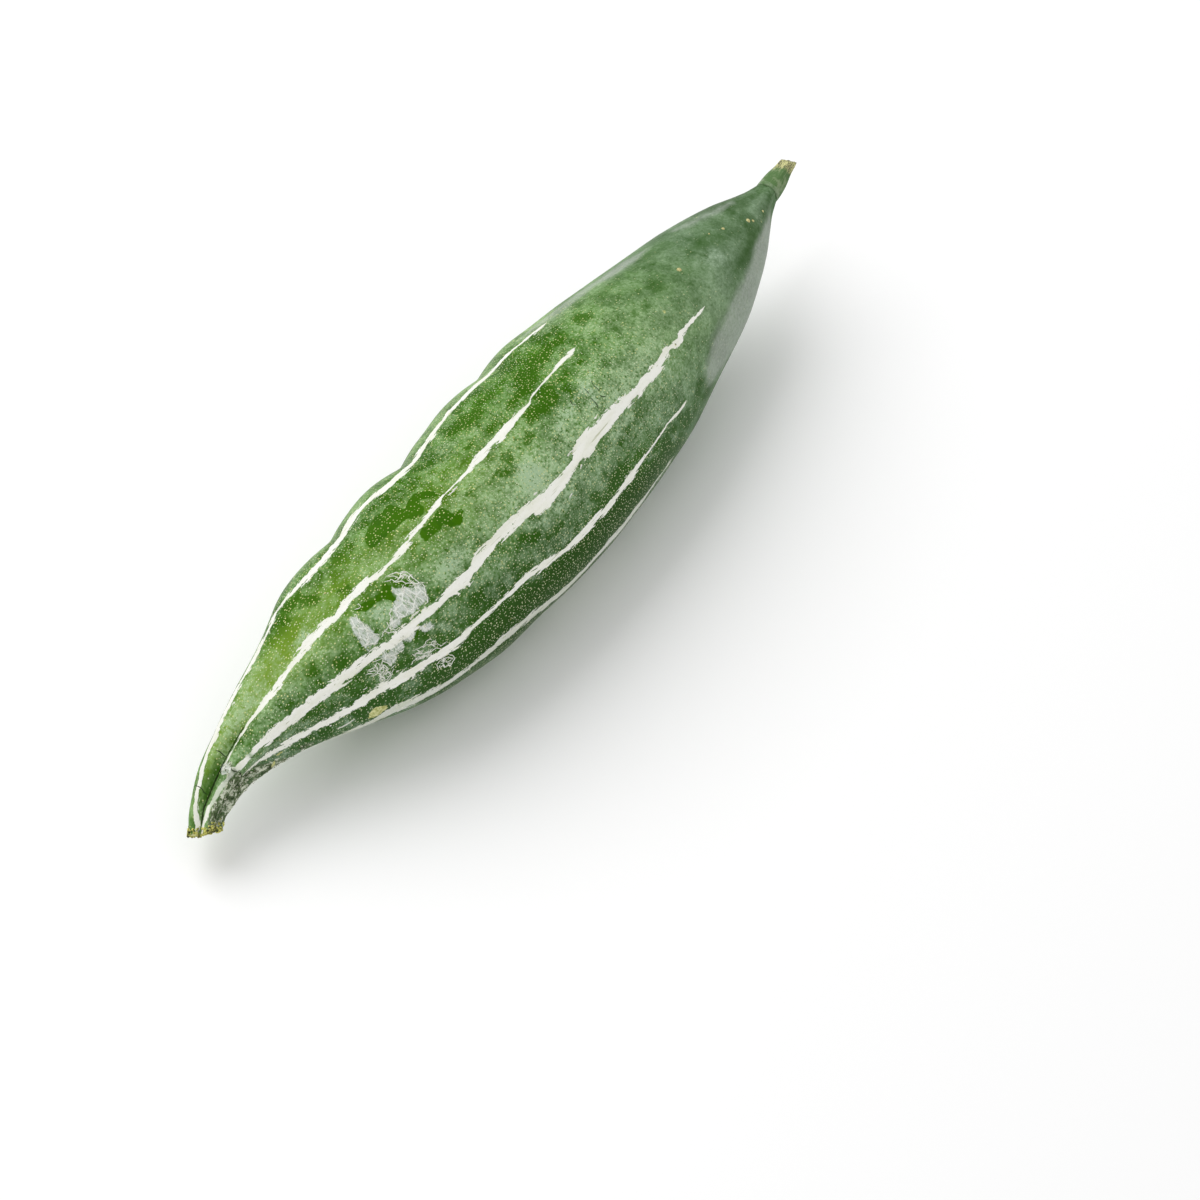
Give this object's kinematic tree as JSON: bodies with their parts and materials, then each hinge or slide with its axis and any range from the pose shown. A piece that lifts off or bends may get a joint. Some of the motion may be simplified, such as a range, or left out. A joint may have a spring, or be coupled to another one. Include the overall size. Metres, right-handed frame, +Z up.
{
  "type": "snake gourd",
  "caption": "Short snake gourd lying on its side: a dark green spindle with white stripes, soft ribs, a hooked furrowed beak and a cut stem stub.",
  "frame": {"origin": "under the middle of the whole gourd's bounding box, on the surface that it lies on", "axes": "+X along the gourd towards the stem, +Z up, the hooked beak at -X"},
  "size_m": [0.2838, 0.06, 0.0579],
  "materials": {
    "skin": "waxy vegetable skin, dark mottled green with ragged white stripes, satin with rubbed glossy patches",
    "stem": "matte green stalk with a dry yellowish cut end"
  },
  "bodies": {
    "root": {"fruit": "skin", "stem_stub": "stem"}
  },
  "joints": []
}
